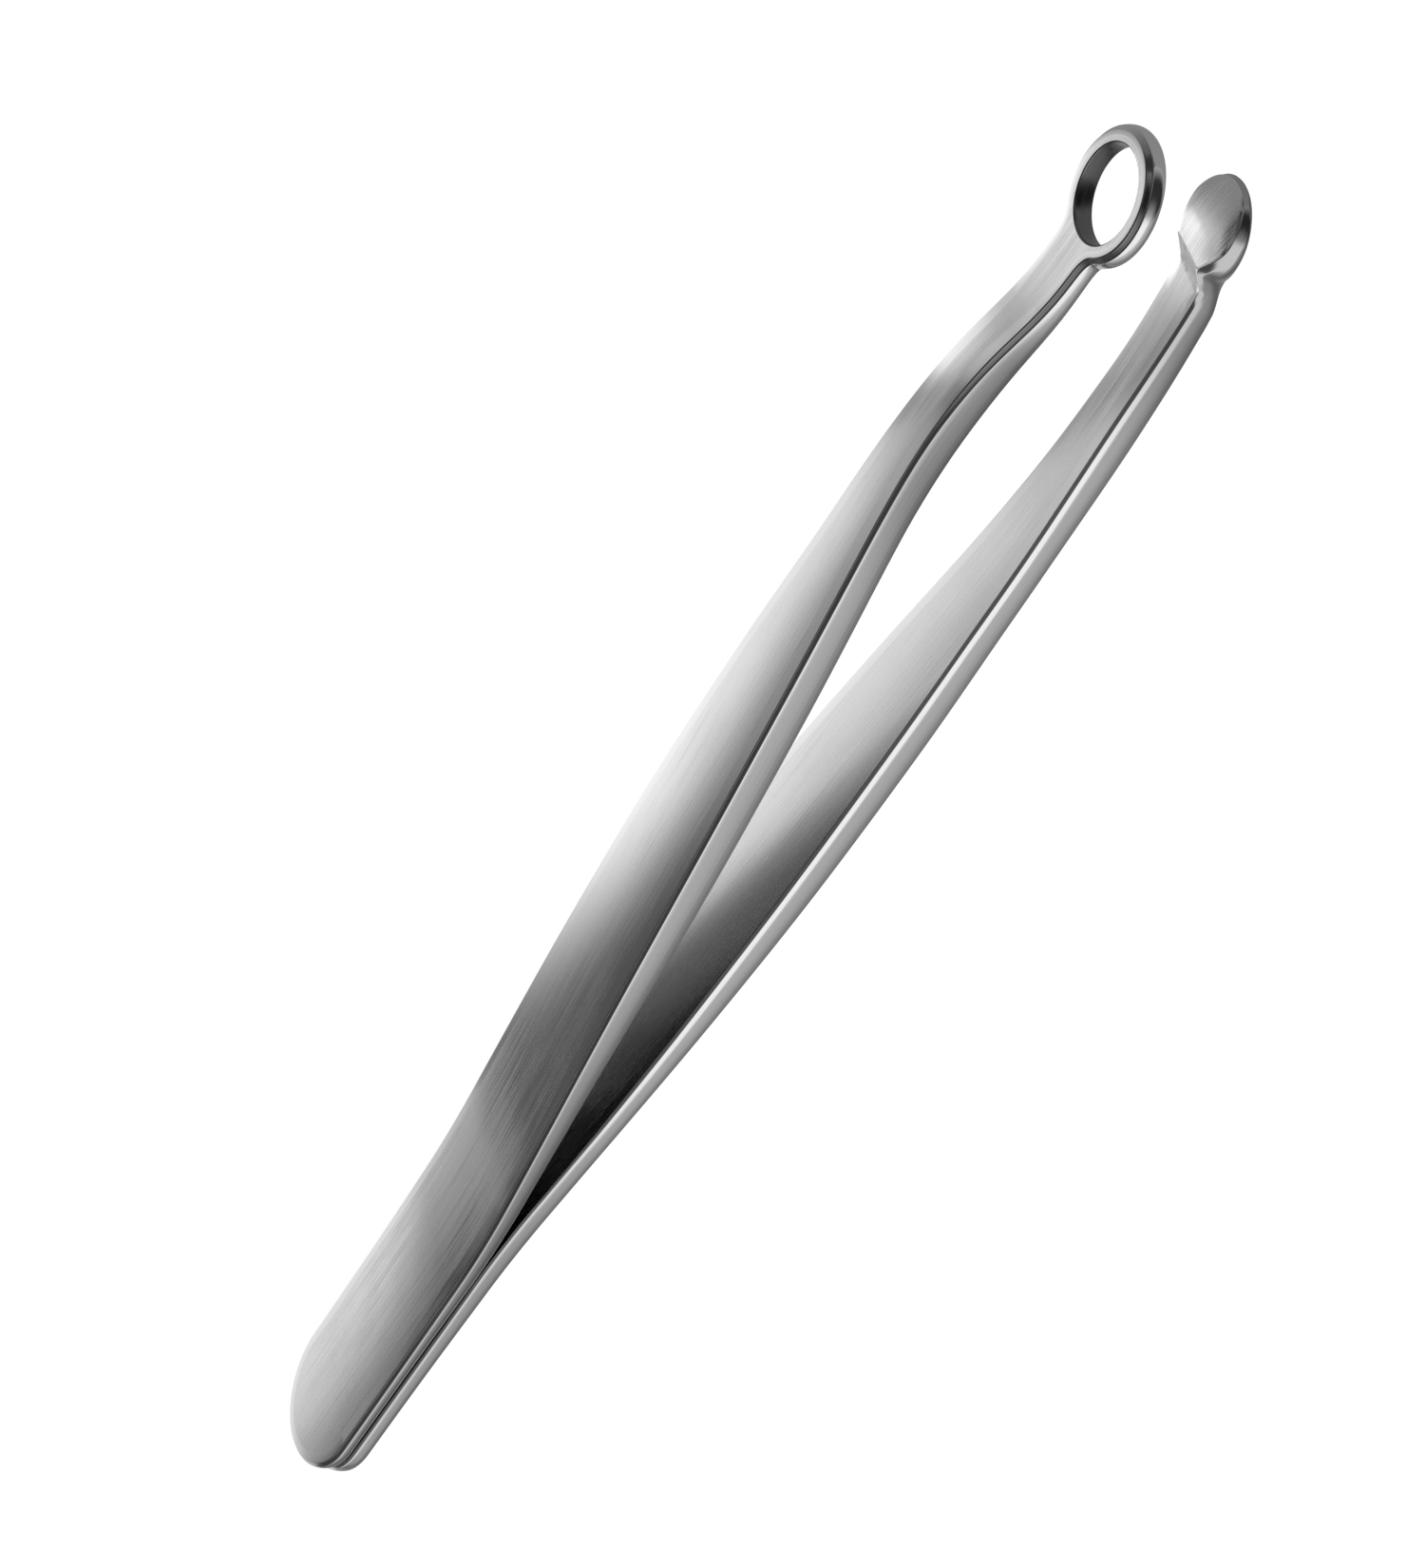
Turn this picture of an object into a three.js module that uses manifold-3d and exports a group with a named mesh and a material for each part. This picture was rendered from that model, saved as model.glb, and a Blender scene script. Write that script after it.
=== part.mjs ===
// Ring-tip tongs: two spring-steel arms welded together at the tail.
// One arm ends in an open ring, the other in a spade with a raised round pad that closes on the ring.
// Millimetres. X runs from the tail to the tips, Y across the opening, Z along the width of the arms.
// The tongs lie on the lower side edges of their arms.

import * as THREE from 'three';
import { ConvexGeometry } from 'three/addons/geometries/ConvexGeometry.js';
import { mergeVertices } from 'three/addons/utils/BufferGeometryUtils.js';
import Module from 'manifold-3d';

const wasm = await Module();
wasm.setup();

// ---- Driving dimensions ----

const tailHalfWidth = 4.85;      // half the width of both arms over the tail
const tailRound = 4.6;           // length of the half ellipse that rounds the tail end
const taperStart = 24;           // the side edges are straight and parallel as far as here
const weldEnd = 22;              // the arms touch as far as here, and part beyond it
const flexLine = 31;             // where each arm's bending is gathered into one hinge line
const flexGap = 0.3;             // slit that parts the tail stretch of an arm from its blade

const tipCentre = 109;           // distance of the ring's centre from the tail
const padCentre = 108.6;         // distance of the pad's centre from the tail
const neckEnd = 104.6;           // where the neck starts to flare into the round tip
const neckHalfWidth = 1.65;
const ringFlare = 142;           // where the neck's flare meets the ring, in degrees from +X
const spadeFlare = 130;          // where it meets the round back of the spade

const ringRadius = 3.55;         // outer radius of the ring
const ringHoleRadius = 2.73;     // radius of the hole in the ring
const ringTilt = -0.5;           // slope of the ring's faces, in degrees

const spadeBackRadius = 2.3;     // round end of the arm behind the pad
const spadeRadius = 3;           // rim of the spade, between the pad and that round end
const padRadius = 2.6;           // edge of the pad's flat face
const padChord = 1.45;           // from the pad's centre back to its straight edge
const padRamp = 1.5;             // run of the slope from the arm up to that straight edge
const padFootHalfWidth = 1.75;   // half the width of that slope where it leaves the arm
const padFaceY = -2.6;           // Y of the pad's face at its centre
const padTilt = -4;              // slope of the pad's face, in degrees
const padBevel = 0.3;            // height of the bevel between the pad's face and the spade's rim
const padDepth = 0.65;           // depth of the spade from the pad's face to the round end behind it

// Half the width of an arm from the start of its taper to the neck, by distance from the tail.
const halfWidths = [
  [12, 4.85], [taperStart, 4.85], [36, 4.7], [48, 4.45], [60, 4.05], [72, 3.3], [84, 2.3],
  [93, 1.7], [99, 1.55], [neckEnd, neckHalfWidth],
];

// Thickness of each arm, by distance from the tail.
const ringArmThickness = [
  [0, 1.1], [14, 1.15], [32, 1.45], [62, 2.1], [72, 2.1], [86, 1.9], [97, 1.85],
  [103, 1.3], [107, 1.2], [113, 1.2],
];
const padArmThickness = [
  [0, 1.1], [14, 1.15], [32, 1.45], [62, 2.1], [72, 2.1], [86, 1.9], [97, 1.95],
  [102, 1.65], [105.6, 1.4], [108, 0.75], [110, 0.35], [113, 0.2],
];

// Bends of each arm's inner face, as [where the bend starts, its length, its turn in degrees].
const ringArmBends = [[weldEnd, 8, 4.5], [34, 16, -1], [72, 10, 0.8], [85, 14, -12.2], [100.2, 3.6, 7.4]];
const padArmBends = [[weldEnd, 8, 4.5], [34, 16, -1], [82, 12, -4.6], [98, 8, -5]];

const step = 1;                  // spacing of the stations along an arm
const deep = 40;                 // depth of the blocks that are cut down to an arm

// ---- Solids ----

const radians = THREE.MathUtils.degToRad;

function solid(geometry) {
  geometry.deleteAttribute('normal');
  geometry.deleteAttribute('uv');
  const merged = mergeVertices(geometry, 1e-5);
  return new wasm.Manifold(new wasm.Mesh({
    numProp: 3,
    vertProperties: new Float32Array(merged.attributes.position.array),
    triVerts: new Uint32Array(merged.index.array),
  }));
}

function geometryOf(body) {
  const mesh = body.getMesh();
  const geometry = new THREE.BufferGeometry();
  geometry.setAttribute('position', new THREE.BufferAttribute(mesh.vertProperties, 3));
  geometry.setIndex(new THREE.BufferAttribute(mesh.triVerts, 1));
  return geometry;
}

// A shape drawn in X and Y, deep along Z.
function sideBlock(shape) {
  const geometry = new THREE.ExtrudeGeometry(shape, { depth: deep, bevelEnabled: false });
  return solid(geometry.translate(0, 0, -deep / 2));
}

// A shape drawn in X and Z, deep along Y.
function planBlock(shape) {
  const geometry = new THREE.ExtrudeGeometry(shape, { depth: deep, bevelEnabled: false, curveSegments: 24 });
  return solid(geometry.rotateX(Math.PI / 2).translate(0, deep / 2, 0));
}

// ---- The arm seen from the side: its inner and outer faces ----

// A smooth curve through a table of [distance from the tail, value].
function curve(table) {
  const distances = table.map(([x]) => x);
  const values = table.map(([, value]) => value);
  const interpolant = new THREE.CubicInterpolant(distances, values, 1);
  return (x) => interpolant.evaluate(x)[0];
}

// The slope of an arm's inner face, in degrees, after every bend that starts before x.
function slopeAt(bends, x) {
  return bends.reduce((sum, [start, run, turn]) => {
    return sum + turn * THREE.MathUtils.clamp((x - start) / run, 0, 1);
  }, 0);
}

function sideShape(bends, thicknesses, side) {
  const thickness = curve(thicknesses);
  const inner = [];
  const outer = [];
  let y = 0;
  for (let x = 0; x <= tipCentre + 4; x += step) {
    inner.push(new THREE.Vector2(x, side * y));
    outer.push(new THREE.Vector2(x, side * (y + thickness(x))));
    y += step * Math.tan(radians(slopeAt(bends, x + step / 2)));
  }
  return new THREE.Shape([...inner, ...outer.reverse()]);
}

// ---- The arm seen from above: its tail, taper, neck and round tip ----

function planShape(centre, tipRadius, flareAngle) {
  const halfWidth = curve(halfWidths);
  const edge = [];
  for (let x = taperStart; x < neckEnd; x += 2 * step) edge.push(new THREE.Vector2(x, halfWidth(x)));
  edge.push(new THREE.Vector2(neckEnd, neckHalfWidth));

  const flare = radians(flareAngle);
  const meetX = centre + tipRadius * Math.cos(flare);
  const meetZ = tipRadius * Math.sin(flare);
  const bendX = meetX + (meetZ - neckHalfWidth) * Math.tan(flare);

  const shape = new THREE.Shape();
  shape.moveTo(tailRound, -tailHalfWidth);
  shape.absellipse(tailRound, 0, tailRound, tailHalfWidth, -Math.PI / 2, Math.PI / 2, true);
  edge.forEach((p) => shape.lineTo(p.x, p.y));
  shape.quadraticCurveTo(bendX, neckHalfWidth, meetX, meetZ);
  shape.absarc(centre, 0, tipRadius, flare, -flare, true);
  shape.quadraticCurveTo(bendX, -neckHalfWidth, neckEnd, -neckHalfWidth);
  edge.reverse().slice(1).forEach((p) => shape.lineTo(p.x, -p.y));
  return shape;
}

// ---- Arms ----

function ringArm() {
  const hole = new THREE.CylinderGeometry(ringHoleRadius, ringHoleRadius, deep, 64);
  hole.rotateZ(radians(ringTilt)).translate(tipCentre, 0, 0);
  return sideBlock(sideShape(ringArmBends, ringArmThickness, 1))
    .intersect(planBlock(planShape(tipCentre, ringRadius, ringFlare)))
    .subtract(solid(hole));
}

// A round outline with one straight edge, level with the pad's face or below it.
function padOutline(radius, drop) {
  const slope = Math.tan(radians(padTilt));
  const limit = Math.acos(-padChord / radius);
  const points = [];
  for (let i = 0; i <= 40; i += 1) {
    const angle = THREE.MathUtils.lerp(-limit, limit, i / 40);
    const x = radius * Math.cos(angle);
    points.push(new THREE.Vector3(padCentre + x, padFaceY + slope * x - drop, radius * Math.sin(angle)));
  }
  return points;
}

// The spade: a flat round pad that slopes out to a rim, in again to the end of the arm, and back down the neck.
function spade(innerFaceY) {
  const foot = [-1, 1].map((side) => {
    return new THREE.Vector3(padCentre - padChord - padRamp, innerFaceY, side * padFootHalfWidth);
  });
  return solid(new ConvexGeometry([
    ...padOutline(padRadius, 0),
    ...padOutline(spadeRadius, padBevel),
    ...padOutline(spadeBackRadius, padDepth),
    ...foot,
  ]));
}

function padArm() {
  const side = sideShape(padArmBends, padArmThickness, -1);
  const foot = side.getPoints().find((p) => p.x > padCentre - padChord - padRamp);
  return sideBlock(side)
    .intersect(planBlock(planShape(padCentre, spadeBackRadius, spadeFlare)))
    .add(spade(foot.y));
}

// The stretch of an arm between two distances from the tail.
function stretch(arm, from, to) {
  const block = new THREE.BoxGeometry(to - from, deep, deep);
  return arm.intersect(solid(block.translate((from + to) / 2, 0, 0)));
}

// ---- Assembly ----

const steel = new THREE.MeshStandardMaterial({ color: 0xb9bbbd, roughness: 0.34, metalness: 1 });

const tongs = new THREE.Group();

function addArm(name, arm) {
  const tail = new THREE.Mesh(geometryOf(stretch(arm, -1, flexLine - flexGap / 2)), steel);
  const blade = new THREE.Mesh(geometryOf(stretch(arm, flexLine + flexGap / 2, tipCentre + 5)), steel);
  tail.name = `${name}_tail`;
  blade.name = `${name}_blade`;
  tongs.add(tail, blade);
}

addArm('ring_arm', ringArm());
addArm('pad_arm', padArm());

// The origin is under the middle of the tongs as they lie.
const box = new THREE.Box3().setFromObject(tongs);
const centre = box.getCenter(new THREE.Vector3());
tongs.position.set(-centre.x, -centre.y, -box.min.z);

export default tongs;
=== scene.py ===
"""Ring-tip tongs in brushed steel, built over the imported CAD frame.

Each arm is one springy strip, so it is one mesh that bends between the welded tail and its own blade.
Measures are millimetres: x from the tail end to the tips, y from the seam out to the arm's own side,
w across the width of the arm. place() turns them into metres in the frame.
"""

import math

import bpy
from mathutils import Matrix, Vector


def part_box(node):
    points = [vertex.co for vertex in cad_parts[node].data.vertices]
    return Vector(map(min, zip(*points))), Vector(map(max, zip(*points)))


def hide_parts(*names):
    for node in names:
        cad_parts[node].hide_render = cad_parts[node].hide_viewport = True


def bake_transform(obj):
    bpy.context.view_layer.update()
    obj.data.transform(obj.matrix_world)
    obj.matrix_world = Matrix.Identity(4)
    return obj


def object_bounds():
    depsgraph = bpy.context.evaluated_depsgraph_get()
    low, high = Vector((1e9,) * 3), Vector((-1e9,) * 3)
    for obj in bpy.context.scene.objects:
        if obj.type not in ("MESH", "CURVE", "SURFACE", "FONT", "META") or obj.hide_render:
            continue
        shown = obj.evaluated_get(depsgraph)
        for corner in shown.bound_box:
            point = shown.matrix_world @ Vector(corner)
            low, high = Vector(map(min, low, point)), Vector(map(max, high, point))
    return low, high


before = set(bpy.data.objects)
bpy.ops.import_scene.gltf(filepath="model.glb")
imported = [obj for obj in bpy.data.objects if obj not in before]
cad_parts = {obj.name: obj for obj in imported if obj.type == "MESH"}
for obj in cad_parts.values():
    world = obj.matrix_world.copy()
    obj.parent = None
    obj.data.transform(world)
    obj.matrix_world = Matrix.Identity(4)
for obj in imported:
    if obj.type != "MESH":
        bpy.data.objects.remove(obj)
cad_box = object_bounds()

MM = 0.001

# ---- Measures shared with the CAD ----
# Most are rounded from the output of a program that fitted a camera and the arms' edges to the photo.

TAIL_HALF_WIDTH = 4.85
TAIL_ROUND = 4.6          # length of the half ellipse that rounds the tail end
TAPER_START = 24          # the side edges are parallel as far as here
WELD_END = 22             # the arms touch as far as here
NECK_END = 104.6          # where the neck starts to flare into the round tip
NECK_HALF_WIDTH = 1.65
RING_CENTRE = 109
RING_RADIUS = 3.55
HOLE_RADIUS = 2.73
RING_FLARE = 142          # where the neck's flare meets the ring, in degrees from +X
PAD_FOOT = 105.65         # where the slope up to the pad leaves the arm
PAD_FACE = 2.6            # from the seam to the pad's face
PAD_TILT = 4              # slope of the pad's face, in degrees

# Each table is (distance from the tail end, value).
HALF_WIDTHS = [
    (12, TAIL_HALF_WIDTH), (TAPER_START, TAIL_HALF_WIDTH), (36, 4.7), (48, 4.45), (60, 4.05), (72, 3.3),
    (84, 2.3), (93, 1.7), (99, 1.55), (NECK_END, NECK_HALF_WIDTH),
]
SHARED_THICKNESS = [(0, 1.1), (14, 1.15), (32, 1.45), (62, 2.1), (72, 2.1), (86, 1.9)]
RING_ARM_THICKNESS = SHARED_THICKNESS + [(97, 1.85), (103, 1.3), (107, 1.2), (113, 1.2)]

# A bend is (where it starts, its length, its turn away from the seam in degrees).
RING_ARM_BENDS = [(WELD_END, 8, 4.5), (34, 16, -1), (72, 10, 0.8), (85, 14, -12.2), (100.2, 3.6, 7.4)]
PAD_ARM_BENDS = [(WELD_END, 8, 4.5), (34, 16, -1), (82, 12, -4.6), (98, 8, -5)]

# ---- Measures of the finished surface, a little off the plain CAD solids ----

TAIL_OVERHANG = 0.5       # how far the rounded tail end runs past the CAD's
PAD_CENTRE = 108.75
PAD_START = 106.85        # where the slope reaches the pad's face
PAD_DOME = 0.28           # rise of the pad's face from its edge to its middle
SPADE_RADIUS = 2.9
SPADE_FLARE = 128
SPADE_DROP = 0.15         # how far the spade sits below the blade's middle line
PAD_ARM_THICKNESS = SHARED_THICKNESS + [
    (97, 1.95), (102, 1.7), (105.6, 1.42), (108, 0.85), (110, 0.75), (113, 0.65),
]

# ---- Make-up of an arm's mesh ----

ROWS = 18                 # faces across the width of a broad face
RIM_GRAIN = 20            # grain levels of the rim and the hole, clear of the broad faces'
HOLE_GRAIN = 30
GRAIN_STEP = 0.2          # change of the level between two points of a profile
FACE_POINTS = 2           # how many of a profile's first points lie on the outer face
BRUSHED = 0               # material slots
POLISHED = 1
SHADED_HOLE = 2

# The tail end of the seam between the arms, half way up their width.
tail_low, tail_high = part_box("ring_arm_tail")
SEAM = Vector((tail_low.x, tail_low.y, (tail_low.z + tail_high.z) / 2))


def place(x, y, w):
    return SEAM + Vector((x, y, w)) * MM


# ---- Curves ----

def curve(table):
    """A smooth curve through a table of (distance, value)."""
    xs = [x for x, _ in table]
    vs = [v for _, v in table]
    steps = [(vs[i + 1] - vs[i]) / (xs[i + 1] - xs[i]) for i in range(len(xs) - 1)]
    slopes = [steps[0]]
    for i in range(1, len(steps)):
        before = xs[i] - xs[i - 1]
        after = xs[i + 1] - xs[i]
        slopes.append((steps[i - 1] * after + steps[i] * before) / (before + after))
    slopes.append(steps[-1])

    def at(x):
        x = min(max(x, xs[0]), xs[-1])
        i = next(k for k in range(len(steps)) if x <= xs[k + 1])
        width = xs[i + 1] - xs[i]
        t = (x - xs[i]) / width
        rise = vs[i + 1] - vs[i]
        start = slopes[i] * width
        end = slopes[i + 1] * width
        return vs[i] + t * start + t * t * (3 * rise - 2 * start - end) + t ** 3 * (start + end - 2 * rise)

    return at


def smooth(low, high, x):
    t = min(max((x - low) / (high - low), 0), 1)
    return t * t * (3 - 2 * t)


def lerp(a, b, t):
    return a + (b - a) * t


def inner_line(bends):
    """The distance of an arm's inner face from the seam, after every bend that starts before x."""
    pitch = 0.05
    heights = [0.0]
    for i in range(int(114 / pitch)):
        x = (i + 0.5) * pitch
        turn = sum(t * min(max((x - start) / run, 0), 1) for start, run, t in bends)
        heights.append(heights[-1] + pitch * math.tan(math.radians(turn)))

    def at(x):
        x = max(x, 0)
        i = min(int(x / pitch), len(heights) - 2)
        return lerp(heights[i], heights[i + 1], x / pitch - i)

    return at


def outline(centre, tip_radius, flare):
    """Half the plan outline from tail end to tip, as (x, w) stations, and where the neck and tip begin."""
    half_width = curve(HALF_WIDTHS)
    stations = []
    tail_steps = 28
    for i in range(tail_steps):
        angle = math.pi / 2 * (i / tail_steps)
        reach = (TAIL_ROUND + TAIL_OVERHANG) * math.cos(angle)
        stations.append((TAIL_ROUND - reach, TAIL_HALF_WIDTH * math.sin(angle)))
    pitch = 0.9
    x = TAIL_ROUND
    while x < NECK_END - 0.4:
        stations.append((x, half_width(x)))
        x += pitch
    neck = len(stations)
    meet_x = centre + tip_radius * math.cos(flare)
    meet_w = tip_radius * math.sin(flare)
    bend_x = meet_x + (meet_w - NECK_HALF_WIDTH) * math.tan(flare)
    neck_steps = 14
    for i in range(neck_steps):
        t = i / neck_steps
        stations.append((
            (1 - t) ** 2 * NECK_END + 2 * t * (1 - t) * bend_x + t * t * meet_x,
            (1 - t) ** 2 * NECK_HALF_WIDTH + 2 * t * (1 - t) * NECK_HALF_WIDTH + t * t * meet_w,
        ))
    tip = len(stations)
    tip_steps = 40
    for i in range(tip_steps + 1):
        angle = flare * (1 - i / tip_steps)
        stations.append((centre + tip_radius * math.cos(angle), tip_radius * math.sin(angle)))
    stations[-1] = (centre + tip_radius, 0.0)
    return stations, neck, tip


def inward(stations):
    """The direction into the outline at each station."""
    found = []
    for i, (x, w) in enumerate(stations):
        before = stations[i - 1] if i else (stations[1][0], -stations[1][1])
        after = stations[i + 1] if i + 1 < len(stations) else (stations[-2][0], -stations[-2][1])
        along = Vector((after[0] - before[0], after[1] - before[1])).normalized()
        found.append(Vector((along.y, -along.x)))
    return found


def rounded(corners, radii):
    """A profile with each corner between its ends swapped for a round of three points."""
    points = [corners[0]]
    for before, corner, after, radius in zip(corners, corners[1:], corners[2:], radii):
        to_before = before - corner
        to_after = after - corner
        reach = min(radius, to_before.length * 0.38, to_after.length * 0.38)
        first = corner + to_before.normalized() * reach
        last = corner + to_after.normalized() * reach
        points += [first, (first + last + corner * 2) / 4, last]
    points.append(corners[-1])
    return points


# ---- The arms ----

class Arm:
    """One arm as a closed mesh: a rim all round its outline, and an outer and an inner face across it.

    side is 1 for the arm on +Y and -1 for the arm on -Y. A kind of arm gives its profile, its faces and
    its painted shade, from 0 for bright steel to 1 for dark steel. The dark stretches are painted shade and
    painted reflection, placed to match the photo's tones in the main view. Whether the real steel is darker
    there isn't known.
    """

    def __init__(self, side, bends, thickness, centre, tip_radius, flare):
        self.side = side
        self.inner = inner_line(bends)
        self.thickness = curve(thickness)
        self.stations, self.neck, self.tip = outline(centre, tip_radius, math.radians(flare))
        self.inward = inward(self.stations)
        self.count = len(self.stations)
        self.points = []
        self.edge = []
        self.painted_shade = []
        self.faces = []
        self.uvs = []
        self.slots = []

    def inner_face(self, x):
        return self.inner(x)

    def outer_face(self, x):
        return self.inner(x) + self.thickness(x)

    def face_painted_shade(self, x, w, outer):
        """The broad faces get no painted shade unless a kind of arm says otherwise."""
        return 0.0

    def half_width(self, x):
        """Half the width of the arm, with the rounded tail end taken as full width."""
        if x < TAPER_START / 2:
            return TAIL_HALF_WIDTH
        for (x0, w0), (x1, w1) in zip(self.stations, self.stations[1:]):
            if x0 <= x <= x1 and x1 > x0:
                return lerp(w0, w1, (x - x0) / (x1 - x0))
        return 0.01

    def crown(self, x):
        """How far the outer face falls from its middle to its edges, and the same for the inner face."""
        return 0.07 * self.half_width(x) * (1 - smooth(94, 104, x)), 0.0

    def surface(self, x, w):
        """The levels of the inner face and the outer face, each crowned across its width."""
        outer_fall, inner_fall = self.crown(x)
        across = min(abs(w) / max(self.half_width(x), 0.4), 1) ** 2
        low = self.inner_face(x) + inner_fall * across
        high = self.outer_face(x) + outer_fall * (0.65 - across)
        return low, high

    def add(self, x, y, w, edge=0.0, painted_shade=0.0):
        """A point at x, y from the seam and w across, with its edge value and its painted shade for the
        steel.
        """
        self.points.append(place(x, self.side * y, w))
        self.edge.append(edge)
        self.painted_shade.append(painted_shade)
        return len(self.points) - 1

    def quad(self, corners, uvs, slot, flip=False):
        """A face of four corners, or of three where two of them are one point."""
        if self.side > 0:
            flip = not flip
        pairs = list(zip(corners, uvs))
        kept = [p for i, p in enumerate(pairs) if p[0] != pairs[i - 1][0]]
        if len(kept) < 3:
            return
        if flip:
            kept.reverse()
        self.faces.append([p[0] for p in kept])
        self.uvs.append([p[1] for p in kept])
        self.slots.append(slot)

    def rim(self):
        """The edge all round the arm: a loop of profiles that run from the outer face to the inner face."""
        loop = [(i, 1) for i in range(self.count)] + [(i, -1) for i in range(self.count - 2, 0, -1)]
        rows = []
        lengths = []
        travelled = [0.0]
        for a, b in zip(self.stations, self.stations[1:]):
            travelled.append(travelled[-1] + math.dist(a, b))
        for i, sign in loop:
            x, w = self.stations[i]
            n = self.inward[i]
            low, high = self.surface(x, w)
            row = []
            for k, (inset, y) in enumerate(self.profile(x, low, high)):
                px = x + n.x * inset
                pw = w + n.y * inset
                if i in (0, self.count - 1):
                    pw = 0.0
                low_here, high_here = self.surface(px, pw)
                share = min(max((y - low) / (high - low), 0), 1)
                y += lerp(low_here - low, high_here - high, share)
                edge = 1 - smooth(0.1, 0.7, inset)
                # Each rim point carries the painted shade that the kind of arm gives it.
                row.append(self.add(px, y, sign * pw, edge, self.painted_shade_level(k, x, sign * pw)))
            rows.append(row)
            lengths.append(travelled[i])
        self.wall(rows, lengths + [0.0], RIM_GRAIN, POLISHED)
        self.loop = rows

    def wall(self, rows, lengths, grain, slot, flip=False):
        """The faces between a closed loop of profiles, with the grain along the loop."""
        for q, (row, next_row) in enumerate(zip(rows, rows[1:] + rows[:1])):
            for k in range(len(row) - 1):
                near = grain + k * GRAIN_STEP
                far = near + GRAIN_STEP
                self.quad(
                    [row[k], next_row[k], next_row[k + 1], row[k + 1]],
                    [(lengths[q], near), (lengths[q + 1], near), (lengths[q + 1], far), (lengths[q], far)],
                    slot, flip,
                )

    def side_row(self, i, sign):
        """The rim's profile at a station, on one side of the arm."""
        if sign > 0 or i in (0, self.count - 1):
            return self.loop[i]
        return self.loop[2 * (self.count - 1) - i]

    def face_point(self, x, w, outer):
        low, high = self.surface(x, w)
        return self.add(x, high if outer else low, w, 0.0, self.face_painted_shade(x, w, outer))

    def at(self, index):
        """The place of a point in the plan of the arm, as x and w."""
        p = (self.points[index] - SEAM) / MM
        return p.x, p.z

    def patch(self, grid, flip):
        """A brushed face over a grid of points, whose grain runs along the arm."""
        for a, b in zip(grid, grid[1:]):
            for j in range(len(a) - 1):
                corners = [a[j], b[j], b[j + 1], a[j + 1]]
                self.quad(corners, [self.at(c) for c in corners], BRUSHED, flip)

    def cross_row(self, i, outer):
        """A row of points across a face, from the -w side to the +w side, at a station."""
        k = 0 if outer else -1
        first = self.side_row(i, -1)[k]
        last = self.side_row(i, 1)[k]
        if first == last:
            return [first] * (ROWS + 1)
        x, w = self.at(last)
        inner = [self.face_point(x, w * (2 * j / ROWS - 1), outer) for j in range(1, ROWS)]
        return [first, *inner, last]

    def build(self, name):
        """The arm as an object, standing for its tail and its blade."""
        mesh = bpy.data.meshes.new(name)
        mesh.from_pydata([tuple(p) for p in self.points], [], self.faces)
        uv = mesh.uv_layers.new(name="grain")
        flat = [c for face in self.uvs for corner in face for c in corner]
        uv.data.foreach_set("uv", flat)
        mesh.attributes.new("edge", "FLOAT", "POINT").data.foreach_set("value", self.edge)
        mesh.attributes.new("painted_shade", "FLOAT", "POINT").data.foreach_set("value", self.painted_shade)
        mesh.polygons.foreach_set("material_index", self.slots)
        mesh.polygons.foreach_set("use_smooth", [True] * len(mesh.polygons))
        mesh.validate()
        arm = bpy.data.objects.new(name, mesh)
        bpy.context.scene.collection.objects.link(arm)
        weighted = arm.modifiers.new("weighted", "WEIGHTED_NORMAL")
        weighted.weight = 50
        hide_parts(f"{name}_tail", f"{name}_blade")
        return arm


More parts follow.
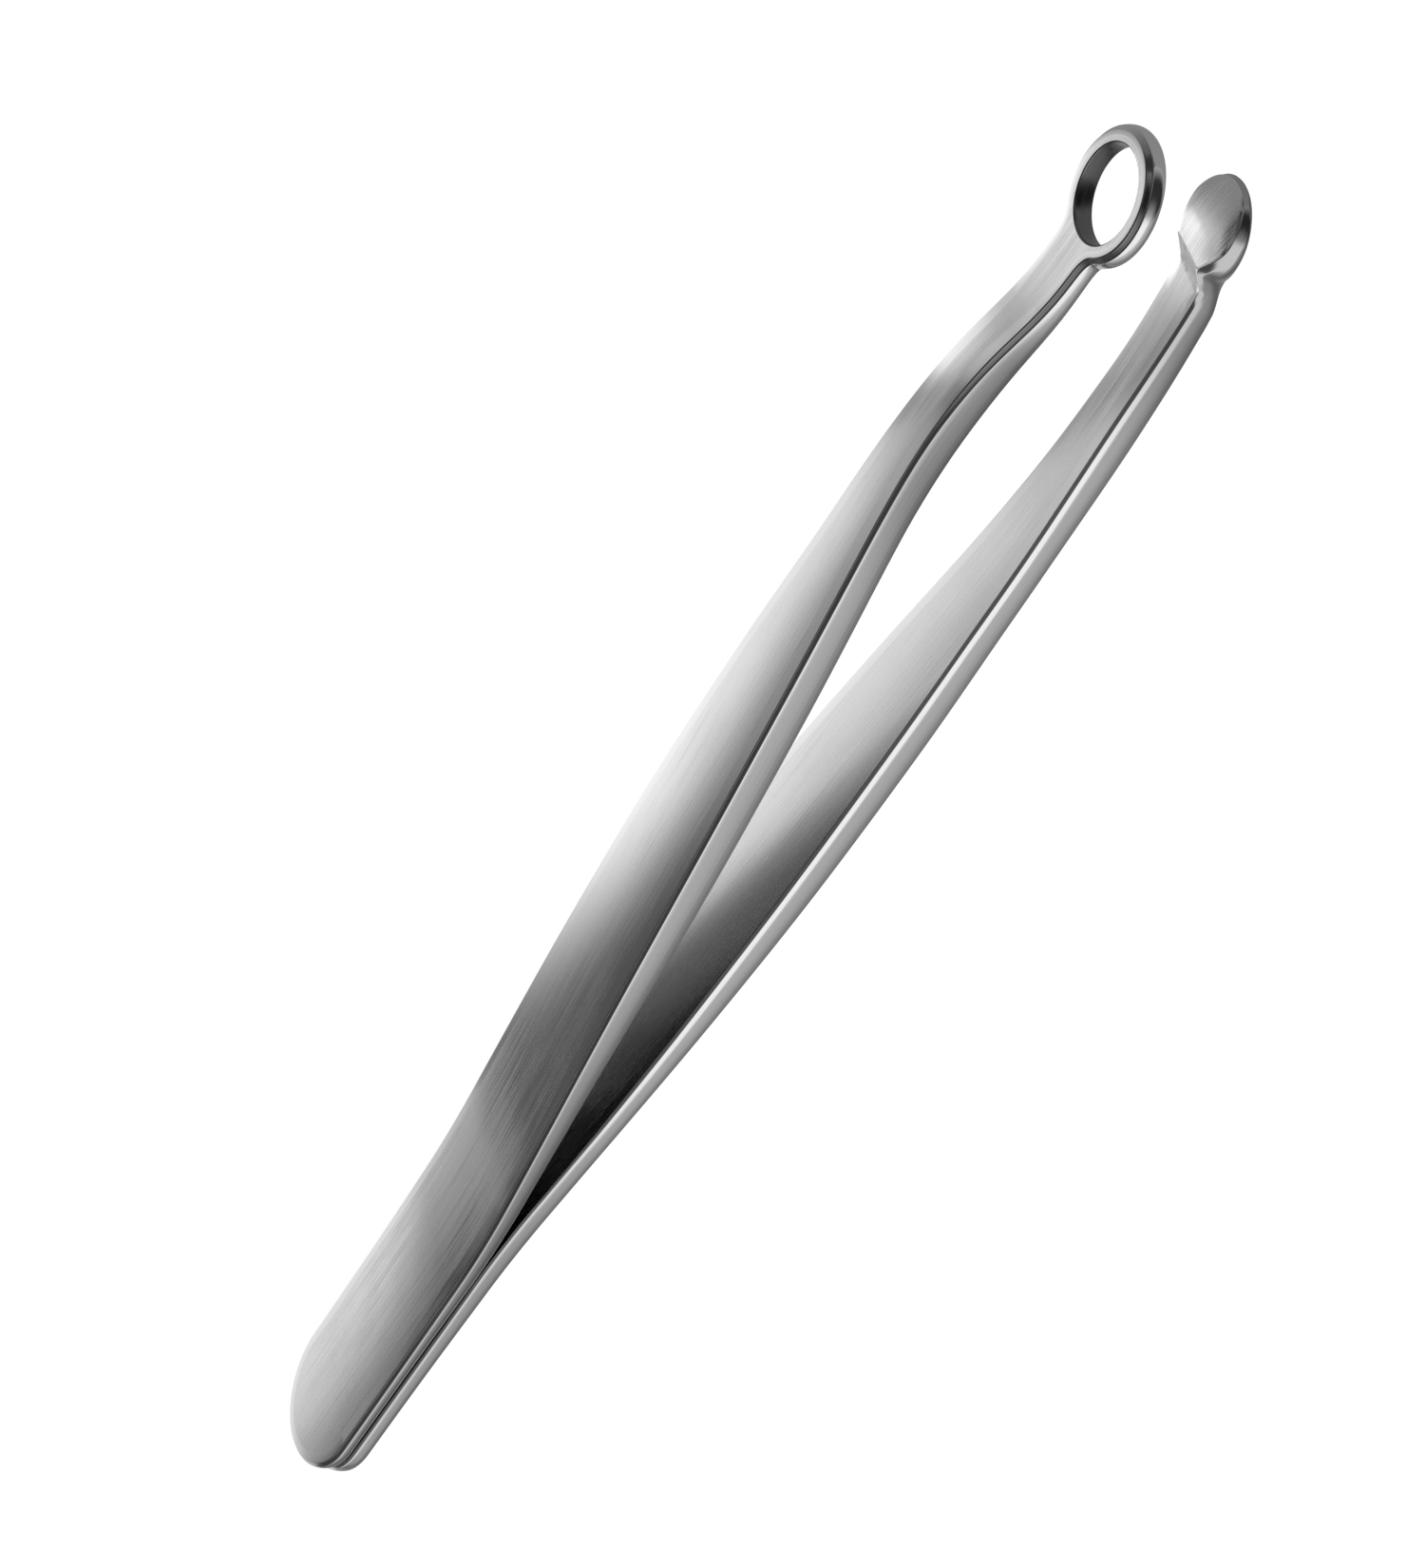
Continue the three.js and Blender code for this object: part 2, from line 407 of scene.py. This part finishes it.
class RingArm(Arm):
    """The arm that ends in an open ring."""

    BEVEL_END = 9
    LIP_START = 35

    def inner_face(self, x):
        """The blade swells a little towards the other arm between the fork and the neck."""
        return self.inner(x) - 0.14 * smooth(40, 60, x) * (1 - smooth(99, 105, x))

    def painted_shade_level(self, k, x, w):
        """The painted shade of a profile's point k.

        It is painted shade and painted reflection: high on the +w side's bevel and on the lip on the weld, in
        the seam between the arms, and lower on the side near the tail and at the neck.
        """
        if k < FACE_POINTS:
            return 0
        if k <= self.BEVEL_END:
            return 0.75 * smooth(-2, 1, w)
        if k >= self.LIP_START:
            return 0.95 * (1 - smooth(20, 30, x))
        return 0.6 * (1 - smooth(24, 60, x)) + 0.5 * smooth(80, 91, x) * (1 - smooth(98, 103, x))

    def profile(self, x, low, high):
        """From the outer face to the inner face: a bevel, deeper at the ring, a rounded side and a lip."""
        ring = smooth(90, 101, x)
        tuck = 0.1 * (1 - smooth(14, 34, x))
        margin = lerp(0.9, 0.48, smooth(98, 105, x))
        bottom = low + lerp(0.2, 0.1, smooth(20, 40, x))
        belly = smooth(36, 60, x)
        foot = -0.03 - 0.14 * smooth(84, 98, x)
        bevel = [
            (lerp(0.17, 0.14, ring), 0),
            (lerp(0.12, 0.08, ring), lerp(0.05, 0.03, ring)),
            (lerp(0.0, -0.1, ring), lerp(0.14, 0.26, ring)),
            (lerp(-0.04, -0.17, ring), lerp(0.17, 0.28, ring)),
        ]
        corners = [Vector((margin, high))]
        corners += [Vector((tuck + inset, high - drop)) for inset, drop in bevel]
        top = high - lerp(0.2, 0.34, ring)
        side_steps = 6
        for i in range(side_steps + 1):
            t = i / side_steps
            bulge = (0.3 + 0.25 * belly * t) * t * (1 - t)
            inset = tuck + lerp(lerp(-0.08, -0.2, ring), foot, t) - bulge
            corners.append(Vector((inset, lerp(top, bottom, t))))
        corners += [Vector((tuck + 0.13, low)), Vector((margin, low))]
        return rounded(corners, [0.04] * (len(corners) - 2))

    def fill(self):
        hole = self.hole()
        for outer in (True, False):
            grid = [self.cross_row(i, outer) for i in range(self.neck + 1)]
            self.patch(grid, not outer)
            self.ring_face(grid[-1], hole, outer)

    def hole(self):
        """The wall of the hole, as profiles that run from the outer face to the inner face.

        The first ones lie opposite the rim's stations round the ring. The rest close the hole at the neck.
        """
        flare = math.radians(RING_FLARE)
        steps = self.count - 1 - self.tip
        angles = [flare * (1 - i / steps) for i in range(steps + 1)]
        angles += [-a for a in reversed(angles[:-1])]
        back = [-flare - (2 * math.pi - 2 * flare) * j / ROWS for j in range(1, ROWS)]
        self.hole_front = len(angles)
        profile = [(0.1, 1.0), (0.03, 0.97), (0.0, 0.9), (0.0, 0.1), (0.03, 0.03), (0.1, 0.0)]
        rows = []
        for angle in angles + back:
            row = []
            for inset, share in profile:
                r = HOLE_RADIUS + inset
                x = RING_CENTRE + r * math.cos(angle)
                w = r * math.sin(angle)
                low, high = self.surface(x, w)
                row.append(self.add(x, lerp(low, high, share), w, 1.0 - inset * 5))
            rows.append(row)
        # The hole's wall takes the dark grey steel of painted shade.
        self.wall(rows, [q * GRAIN_STEP for q in range(len(rows) + 1)], HOLE_GRAIN, SHADED_HOLE, flip=True)
        return rows

    def ring_face(self, neck_row, hole, outer):
        """The face from the neck to the ring, and round the ring between its rim and its hole."""
        k = 0 if outer else -1
        last = self.count - 1

        def flat(index):
            return Vector(self.at(index))

        # Spokes from the rim to the hole, from one side of the neck round the tip to the other.
        spoke_steps = 5
        spokes = []
        ends = [(i, 1) for i in range(self.tip, last + 1)]
        ends += [(i, -1) for i in range(last - 1, self.tip - 1, -1)]
        for (i, sign), hole_row in zip(ends, hole[:self.hole_front]):
            start = self.side_row(i, sign)[k]
            spoke = [start]
            for j in range(1, spoke_steps):
                p = flat(start).lerp(flat(hole_row[k]), j / spoke_steps)
                spoke.append(self.face_point(p.x, p.y, outer))
            spoke.append(hole_row[k])
            spokes.append(spoke)
        self.patch(spokes, outer)

        # The rest lies between the last row of the blade, the two outer spokes and the back of the hole.
        back = [hole[self.hole_front - 1], *hole[self.hole_front:], hole[0]]
        back = [row[k] for row in back]
        left = [self.side_row(i, -1)[k] for i in range(self.neck, self.tip + 1)] + spokes[-1][1:]
        right = [self.side_row(i, 1)[k] for i in range(self.neck, self.tip + 1)] + spokes[0][1:]
        rows = [neck_row]
        steps = len(left) - 1
        for r in range(1, steps):
            s = r / steps
            row = [left[r]]
            for j in range(1, ROWS):
                u = j / ROWS
                p = (
                    flat(neck_row[j]) * (1 - s) + flat(back[j]) * s
                    + flat(left[r]) * (1 - u) + flat(right[r]) * u
                    - flat(neck_row[0]) * (1 - u) * (1 - s) - flat(neck_row[-1]) * u * (1 - s)
                    - flat(back[0]) * (1 - u) * s - flat(back[-1]) * u * s
                )
                row.append(self.face_point(p.x, p.y, outer))
            row.append(right[r])
            rows.append(row)
        rows.append(back)
        self.patch(rows, not outer)


class PadArm(Arm):
    """The arm that ends in a spade with a raised pad."""

    LIP_START = 17

    def face_painted_shade(self, x, w, outer):
        """The inner face carries painted shade towards the fork between the arms, and a little towards the
        step.
        """
        if outer:
            return 0.0
        fork = 0.9 * smooth(33, 42, x - 1.2 * w) * (1 - smooth(43, 66, x - 4.8 * w))
        return fork + 0.3 * smooth(95, 99.5, x) * (1 - smooth(102.5, 105, x))

    def painted_shade_level(self, k, x, w):
        """The painted shade of a profile's point k: the lip on the weld in the seam between the arms, and the
        side near the tail and pad.
        """
        if k < FACE_POINTS:
            return 0
        if k >= self.LIP_START:
            return max(0.95 * (1 - smooth(20, 30, x)), self.face_painted_shade(x, w, False))
        return 0.35 * (1 - smooth(20, 50, x)) + 0.5 * smooth(92, 104, x)

    def inner_face(self, x):
        """The pad stands up from the blade between its foot and its start."""
        if x <= PAD_FOOT:
            return self.inner(x)
        pad = PAD_FACE + math.tan(math.radians(PAD_TILT)) * (max(x, PAD_START) - PAD_CENTRE)
        return lerp(self.inner(PAD_FOOT), pad, min((x - PAD_FOOT) / (PAD_START - PAD_FOOT), 1))

    def crown(self, x):
        """A flatter outer face than the ring arm's, and a slight crown on the inner face."""
        outer, _ = super().crown(x)
        inner = 0.03 * self.half_width(x) * smooth(26, 40, x) * (1 - smooth(98, 105, x))
        return outer * 0.3, inner

    def surface(self, x, w):
        """The pad's face is slightly domed about its centre."""
        low, high = super().surface(x, w)
        reach = min((max(x - PAD_CENTRE, 0) ** 2 + w * w) / SPADE_RADIUS ** 2, 1)
        return low + PAD_DOME * smooth(106.8, 108.6, x) * (reach - 0.65), high

    def profile(self, x, low, high):
        """From the outer face to the inner face: a bevel, a round side and a fine bevel, wider at the pad."""
        spade = smooth(PAD_FOOT - 1.2, PAD_FOOT + 0.4, x)
        swell = lerp(0.47, 1, smooth(30, 52, x))
        deep = high - low
        blade = [
            (0.75, deep), (0.05, deep), (-0.19 * swell, deep - 0.14), (-0.27 * swell, deep * 0.58),
            (-0.2 * swell, 0.4), (-0.1 * swell, 0.15), (0.1, 0), (0.75, 0),
        ]
        bevel = lerp(0.15, 0.55, smooth(105.8, 107.1, x))
        bevel -= 0.3 * smooth(107.3, 109.5, x)
        bevel -= 0.09 * smooth(109.5, 111.2, x)
        head = [
            (0.85, deep), (0.4, deep), (0.22, deep - 0.1), (0.08, deep * 0.78),
            (0.02, deep * 0.55), (bevel * 0.45, 0.34), (bevel, 0), (bevel + 0.25, 0),
        ]
        radii = (0.04, 0.1, 0.3, 0.3, 0.04, 0.04)
        corners = [
            Vector((lerp(a[0], b[0], spade), low + lerp(a[1], b[1], spade))) for a, b in zip(blade, head)
        ]
        return rounded(corners, radii)

    def fill(self):
        """Both faces. The spade then sits a little below the blade's middle line."""
        for outer in (True, False):
            self.patch([self.cross_row(i, outer) for i in range(self.count)], not outer)
        for point in self.points:
            x = (point.x - SEAM.x) / MM
            point.z -= SPADE_DROP * MM * smooth(105, 107.5, x)


# ---- Steel ----

def combine(tree, operation, a, b):
    """A maths node on two sockets or numbers."""
    made = tree.nodes.new("ShaderNodeMath")
    made.operation = operation
    for socket, value in zip(made.inputs, (a, b)):
        if isinstance(value, (int, float)):
            socket.default_value = value
        else:
            tree.links.new(value, socket)
    return made.outputs["Value"]


def steel(name, roughness, streaks, tone, anisotropic):
    """Bare steel: drawn grain along the arm, uneven polish, bright edges, and painted shade that darkens it
    towards grey.
    """
    material = bpy.data.materials.new(name)
    material.use_nodes = True
    tree = material.node_tree
    nodes = tree.nodes
    nodes.clear()
    link = tree.links.new

    def node(kind, **settings):
        made = nodes.new(kind)
        for key, value in settings.items():
            setattr(made, key, value)
        return made

    def noise(scale, detail, source):
        mapping = node("ShaderNodeMapping")
        mapping.inputs["Scale"].default_value = scale
        link(source, mapping.inputs["Vector"])
        made = node("ShaderNodeTexNoise", noise_dimensions="2D")
        made.inputs["Scale"].default_value = 1.0
        made.inputs["Detail"].default_value = detail
        made.inputs["Roughness"].default_value = 0.6
        link(mapping.outputs["Vector"], made.inputs["Vector"])
        return made.outputs["Fac"]

    def remap(source, low, high, to_low, to_high):
        made = node("ShaderNodeMapRange")
        for key, value in zip(("From Min", "From Max", "To Min", "To Max"), (low, high, to_low, to_high)):
            made.inputs[key].default_value = value
        link(source, made.inputs["Value"])
        return made.outputs["Result"]

    def maths(operation, a, b):
        return combine(tree, operation, a, b)

    grain_map = node("ShaderNodeUVMap", uv_map="grain").outputs["UV"]
    fine = noise((0.10, 9.0, 1), 3, grain_map)
    coarse = noise((0.05, 1.6, 1), 2, grain_map)
    patches = noise((0.16, 0.22, 1), 3, grain_map)
    edge = node("ShaderNodeAttribute", attribute_name="edge").outputs["Fac"]
    # The arms' painted shade, from 0 for none to 1 for full.
    painted_shade = node("ShaderNodeAttribute", attribute_name="painted_shade").outputs["Fac"]

    grain = maths("ADD", maths("MULTIPLY", fine, 0.7), maths("MULTIPLY", coarse, 0.3))
    rough = maths("ADD", remap(grain, 0.3, 0.7, -streaks * 0.12, streaks * 0.12), roughness)
    rough = maths("ADD", rough, remap(patches, 0.35, 0.65, -0.02, 0.03))
    rough = maths("SUBTRACT", rough, maths("MULTIPLY", edge, 0.03))
    rough = maths("ADD", rough, maths("MULTIPLY", painted_shade, 0.06))

    colour = node("ShaderNodeMix", data_type="RGBA")
    colour.inputs["A"].default_value = (*[c * 0.93 for c in tone], 1)
    colour.inputs["B"].default_value = (*[min(c * 1.05, 1) for c in tone], 1)
    shade = remap(grain, 0.3, 0.7, 0.5 - streaks * 0.45, 0.5 + streaks * 0.45)
    link(maths("ADD", shade, maths("MULTIPLY", edge, 0.2)), colour.inputs["Factor"])
    # Painted shade: the colour is mixed towards dark grey by the arms' painted shade value.
    darkened = node("ShaderNodeMix", data_type="RGBA")
    darkened.inputs["B"].default_value = (0.2, 0.2, 0.2, 1)
    link(colour.outputs["Result"], darkened.inputs["A"])
    link(painted_shade, darkened.inputs["Factor"])

    bump = node("ShaderNodeBump")
    bump.inputs["Strength"].default_value = 0.25 * streaks
    bump.inputs["Distance"].default_value = 0.00002
    link(grain, bump.inputs["Height"])

    tangent = node("ShaderNodeTangent", direction_type="UV_MAP", uv_map="grain")
    shader = node("ShaderNodeBsdfPrincipled")
    shader.inputs["Metallic"].default_value = 1.0
    shader.inputs["Anisotropic"].default_value = anisotropic
    link(darkened.outputs["Result"], shader.inputs["Base Color"])
    link(rough, shader.inputs["Roughness"])
    link(bump.outputs["Normal"], shader.inputs["Normal"])
    link(tangent.outputs["Tangent"], shader.inputs["Tangent"])
    output = node("ShaderNodeOutputMaterial")
    link(shader.outputs["BSDF"], output.inputs["Surface"])
    return material


# In the order of the material slots.
steels = [
    steel("brushed_steel", 0.22, 1.0, (0.73, 0.73, 0.735), 0.4),
    steel("polished_steel", 0.15, 0.5, (0.76, 0.76, 0.765), 0.0),
    # The hole's wall is painted dark grey, as painted shade in the hole.
    steel("shaded_hole_steel", 0.3, 1.0, (0.2, 0.2, 0.2), 0.0),
]

# ---- The two arms ----

ring_arm = RingArm(1, RING_ARM_BENDS, RING_ARM_THICKNESS, RING_CENTRE, RING_RADIUS, RING_FLARE)
pad_arm = PadArm(-1, PAD_ARM_BENDS, PAD_ARM_THICKNESS, PAD_CENTRE, SPADE_RADIUS, SPADE_FLARE)

for arm, name in ((ring_arm, "ring_arm"), (pad_arm, "pad_arm")):
    arm.rim()
    arm.fill()
    piece = arm.build(name)
    for material in steels:
        piece.data.materials.append(material)
    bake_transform(piece)

# ---- Light, floor and camera ----

STUDIO_LIGHT = 2.0
SHEET_HALF = 3


def ramp(tree, source, stops):
    """A smooth row of greys over a value, as (value, brightness) stops."""
    low = stops[0][0]
    high = stops[-1][0]
    scale = tree.nodes.new("ShaderNodeMapRange")
    scale.inputs["From Min"].default_value = low
    scale.inputs["From Max"].default_value = high
    tree.links.new(source, scale.inputs["Value"])
    greys = tree.nodes.new("ShaderNodeFloatCurve")
    line = greys.mapping.curves[0]
    for i, (value, grey) in enumerate(stops):
        share = (value - low) / (high - low)
        if i < 2:
            line.points[i].location = (share, grey)
        else:
            line.points.new(share, grey)
    for point in line.points:
        point.handle_type = "AUTO_CLAMPED"
    greys.mapping.update()
    tree.links.new(scale.outputs["Result"], greys.inputs["Value"])
    return greys.outputs["Value"]


def either(tree, first, second, share):
    """The first level where share is 1, and the second where it is 0."""
    return combine(tree, "ADD", combine(tree, "MULTIPLY", first, share),
                   combine(tree, "MULTIPLY", second, combine(tree, "SUBTRACT", 1, share)))


def coordinates(tree, kind):
    """The x, y and z sockets of a texture coordinate."""
    where = tree.nodes.new("ShaderNodeTexCoord").outputs[kind]
    split = tree.nodes.new("ShaderNodeSeparateXYZ")
    tree.links.new(where, split.inputs["Vector"])
    return split.outputs


def studio():
    """Overhead light, a dim horizon beside the arms and a dark end beyond the tips. See glow_card()."""
    made = bpy.data.worlds.new("studio")
    bpy.context.scene.world = made
    made.use_nodes = True
    tree = made.node_tree
    tree.nodes.clear()
    x, y, z = coordinates(tree, "Generated")
    turn = combine(tree, "MULTIPLY", combine(tree, "ARCTAN2", z, y), 180 / math.pi)
    around = ramp(tree, turn, [
        (-180, 0.15), (-120, 0.2), (-60, 0.35), (-30, 0.06), (35, 0.05), (58, 0.55), (94, 0.55), (108, 0.28),
        (130, 0.21), (150, 0.12), (180, 0.1),
    ])
    beyond = ramp(tree, z, [
        (-1, 0.03), (-0.5, 0.03), (-0.25, 0.2), (-0.05, 0.22), (0.15, 0.12), (0.38, 0.015), (0.72, 0.02),
        (1, 0.25),
    ])
    share = ramp(tree, x, [(-1, 0), (0.05, 0), (0.35, 1), (1, 1)])
    background = tree.nodes.new("ShaderNodeBackground")
    background.inputs["Strength"].default_value = STUDIO_LIGHT
    tree.links.new(either(tree, beyond, around, share), background.inputs["Color"])
    output = tree.nodes.new("ShaderNodeOutputWorld")
    tree.links.new(background.outputs["Background"], output.inputs["Surface"])


def sheet(name, location):
    """A large flat sheet of the stage."""
    mesh = bpy.data.meshes.new(name)
    h = SHEET_HALF
    mesh.from_pydata([(-h, -h, 0), (h, -h, 0), (h, h, 0), (-h, h, 0)], [], [(0, 1, 2, 3)])
    made = bpy.data.objects.new(name, mesh)
    made.location = location
    bpy.context.scene.collection.objects.link(made)
    return made


def glow_card():
    """A large graded card below the floor. Only the steel sees it.

    Its grades, and the studio's, were read off the photo's own brightness, traced through the steel's
    reflections. So the main view repeats the photo's shading. That says nothing about the real lights, and
    from behind the broad faces look far darker than in a plain soft studio.
    """
    under_tail = place(0, 0, 0)
    card = sheet("glow_card", (under_tail.x, under_tail.y, cad_box[0].z - 30 * MM))
    for kind in ("camera", "diffuse", "shadow", "transmission", "volume_scatter"):
        setattr(card, f"visible_{kind}", False)
    material = bpy.data.materials.new("glow_card")
    material.use_nodes = True
    material.cycles.emission_sampling = "NONE"
    tree = material.node_tree
    tree.nodes.clear()
    x, y, _ = coordinates(tree, "Object")
    along = ramp(tree, x, [
        (-0.1, 0.02), (-0.01, 0.02), (0.0, 0.04), (0.005, 0.1), (0.01, 0.24), (0.015, 0.46), (0.02, 0.7),
        (0.026, 0.94), (0.034, 1.04), (0.042, 0.98), (0.05, 0.8), (0.06, 0.66), (0.068, 0.3), (0.073, 0.0),
        (0.081, 0.95), (0.086, 0.95), (0.092, 0.3), (0.098, 0.0), (0.2, 0.0),
    ])
    fall = ramp(tree, y, [
        (-0.1, 0.12), (-0.03, 0.3), (0.0, 0.5), (0.016, 0.48), (0.024, 0.41), (0.03, 0.31), (0.036, 0.195),
        (0.044, 0.11), (0.07, 0.07), (0.1, 0.05),
    ])
    base = ramp(tree, x, [
        (-0.1, 0.045), (0.005, 0.05), (0.02, 0.06), (0.04, 0.08), (0.055, 0.16), (0.07, 0.18), (0.088, 0.24),
        (0.1, 0.14), (0.2, 0.15),
    ])
    beside = ramp(tree, y, [(-0.1, 1), (0.045, 1), (0.055, 0.4), (0.07, 0.25), (0.1, 0.25)])
    base = combine(tree, "MULTIPLY", base, beside)
    body = combine(tree, "ADD", combine(tree, "MULTIPLY", along, fall), base)
    tail = ramp(tree, y, [
        (-0.1, 0.15), (-0.03, 0.3), (0.0, 0.48), (0.016, 0.47), (0.024, 0.42), (0.032, 0.345), (0.04, 0.25),
        (0.048, 0.18), (0.07, 0.1), (0.1, 0.08),
    ])
    slant = combine(tree, "ADD", x, combine(tree, "MULTIPLY", y, 1.08))
    share = ramp(tree, slant, [(-0.1, 1), (0.0, 1), (0.009, 0.45), (0.016, 0), (0.1, 0)])
    emission = tree.nodes.new("ShaderNodeEmission")
    emission.inputs["Strength"].default_value = STUDIO_LIGHT
    tree.links.new(either(tree, tail, body, share), emission.inputs["Color"])
    output = tree.nodes.new("ShaderNodeOutputMaterial")
    tree.links.new(emission.outputs["Emission"], output.inputs["Surface"])
    card.data.materials.append(material)


def floor():
    """White paper that lights the tongs a little but doesn't show in their reflections."""
    made = sheet("floor", (0, 0, cad_box[0].z))
    made.visible_glossy = False
    paper = bpy.data.materials.new("paper")
    paper.use_nodes = True
    shader = paper.node_tree.nodes["Principled BSDF"]
    shader.inputs["Base Color"].default_value = (0.4, 0.4, 0.4, 1)
    shader.inputs["Roughness"].default_value = 0.9
    shader.inputs["Emission Color"].default_value = (1, 1, 1, 1)
    shader.inputs["Emission Strength"].default_value = 0.9
    made.data.materials.append(paper)


def camera():
    """The camera looks down at the tongs from beyond their tips.

    Its numbers are copied from the program that fitted the camera to the photo.
    """
    azimuth = math.radians(40.957)
    elevation = math.radians(40.11)
    roll = math.radians(161.325)
    distance = 265.276 * MM
    aim = place(62.834, 2.885, -0.662)
    data = bpy.data.cameras.new("camera")
    data.lens = 104.84
    data.sensor_width = 36
    data.clip_start = 0.01
    data.clip_end = 20
    made = bpy.data.objects.new("camera", data)
    away = Vector((
        math.cos(azimuth) * math.cos(elevation),
        math.sin(azimuth) * math.cos(elevation),
        math.sin(elevation),
    ))
    level = Vector((-math.sin(azimuth), math.cos(azimuth), 0))
    right = level * math.cos(roll) + away.cross(level) * math.sin(roll)
    turn = Matrix((right, away.cross(right), away)).transposed()
    made.matrix_world = Matrix.Translation(aim + away * distance) @ turn.to_4x4()
    bpy.context.scene.collection.objects.link(made)
    bpy.context.scene.camera = made


studio()
glow_card()
floor()
camera()
bpy.context.scene.view_settings.view_transform = "Standard"
